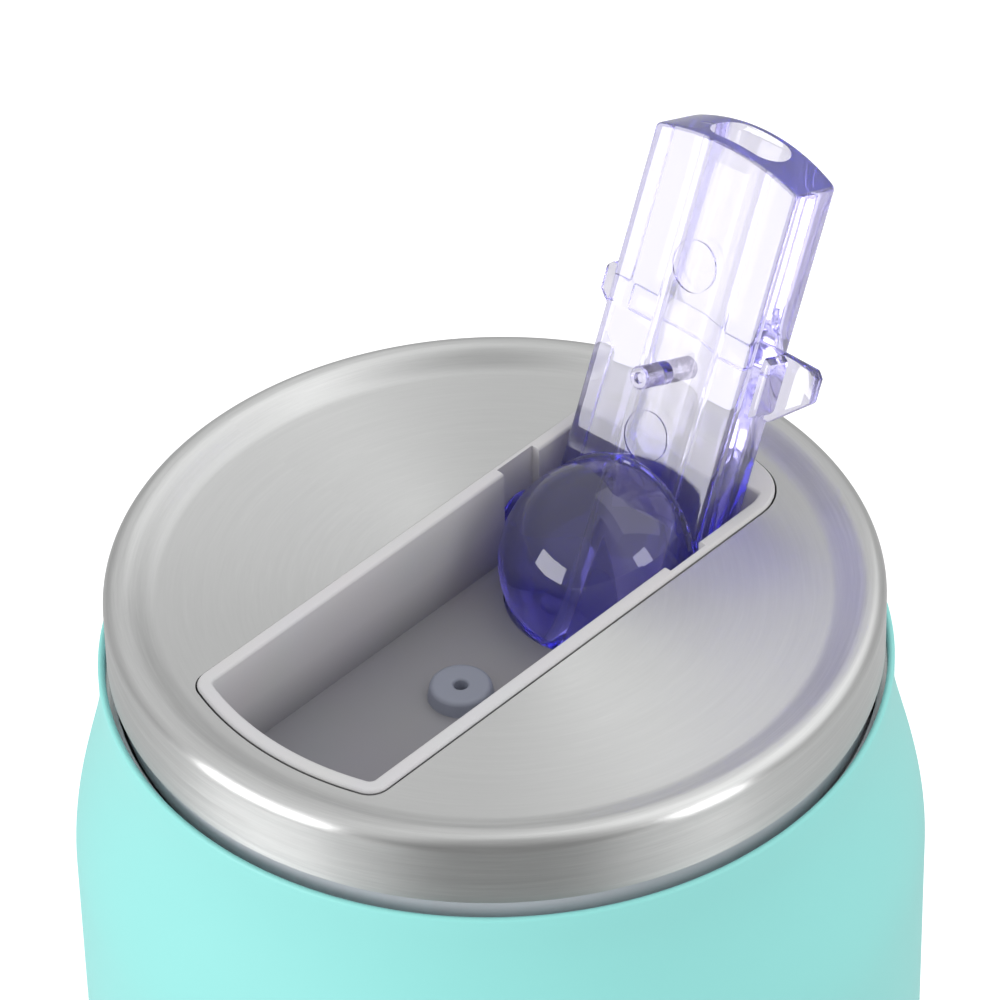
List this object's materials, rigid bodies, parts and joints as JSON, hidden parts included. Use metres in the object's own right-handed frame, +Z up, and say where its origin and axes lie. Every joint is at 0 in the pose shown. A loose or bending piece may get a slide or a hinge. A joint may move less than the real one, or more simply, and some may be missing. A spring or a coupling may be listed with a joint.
{
  "type": "insulated water bottle",
  "caption": "Can-shaped vacuum-insulated bottle with a curved shoulder, a screw-in lid with a steel cover, and a flip-up clear spout that folds into a recessed tray.",
  "frame": {"origin": "on the surface the bottle stands on, at the body's axis", "axes": "+Z up along the body's axis, +Y from the lid's centre to the spout's hinge, +X to the right when the spout's front is seen"},
  "size_m": [0.073, 0.073, 0.2081],
  "materials": {
    "mint_paint": "fine powder coat, mint",
    "bare_steel": "electropolished stainless steel",
    "solder_glass": "dull dark grey",
    "foot_silicone": "matt silicone, mint",
    "foil": "thin bright copper foil",
    "seal_silicone": "translucent blue-grey silicone",
    "lid_plastic": "mid-grey moulded plastic",
    "cover_steel": "stainless steel brushed in circles",
    "tray_plastic": "satin light-grey moulded plastic",
    "foam": "white closed-cell foam",
    "straw_plastic": "natural translucent plastic",
    "clear_violet": "clear plastic with a violet tint"
  },
  "bodies": {
    "vessel": {"outer_shell": "mint_paint", "base_plate": "mint_paint", "base_cover": "bare_steel", "vacuum_seal": "solder_glass", "getter": "solder_glass", "foot_pad": "foot_silicone", "inner_liner": "bare_steel", "heat_foil": "foil"},
    "lid_seal": {"lid_gasket": "seal_silicone"},
    "lid": {"lid_core": "lid_plastic", "lid_cover": "cover_steel", "spout_tray": "tray_plastic", "foam_insert": "foam", "seat_seal": "seal_silicone", "vent_plug": "seal_silicone", "vent_valve": "seal_silicone", "straw_sleeve": "seal_silicone", "straw": "straw_plastic"},
    "spout": {"spout": "clear_violet"}
  },
  "joints": [
    {"name": "lid_lift", "type": "slide", "parent": "vessel", "child": "lid_seal", "axis": [0, 0, 1], "range_m": [0, 0.005]},
    {"name": "lid_turn", "type": "hinge", "parent": "lid_seal", "child": "lid", "pos_m": [0, 0, 0.1735], "axis": [0, 0, 1], "range_deg": [0, 450]},
    {"name": "spout_flip", "type": "hinge", "parent": "lid", "child": "spout", "pos_m": [0, 0.0132, 0.1732], "axis": [1, 0, 0], "range_deg": [0, 113]}
  ],
  "couplings": [
    {"joint": "lid_turn", "follows": "lid_lift", "rad_per_m": 1570.8}
  ]
}
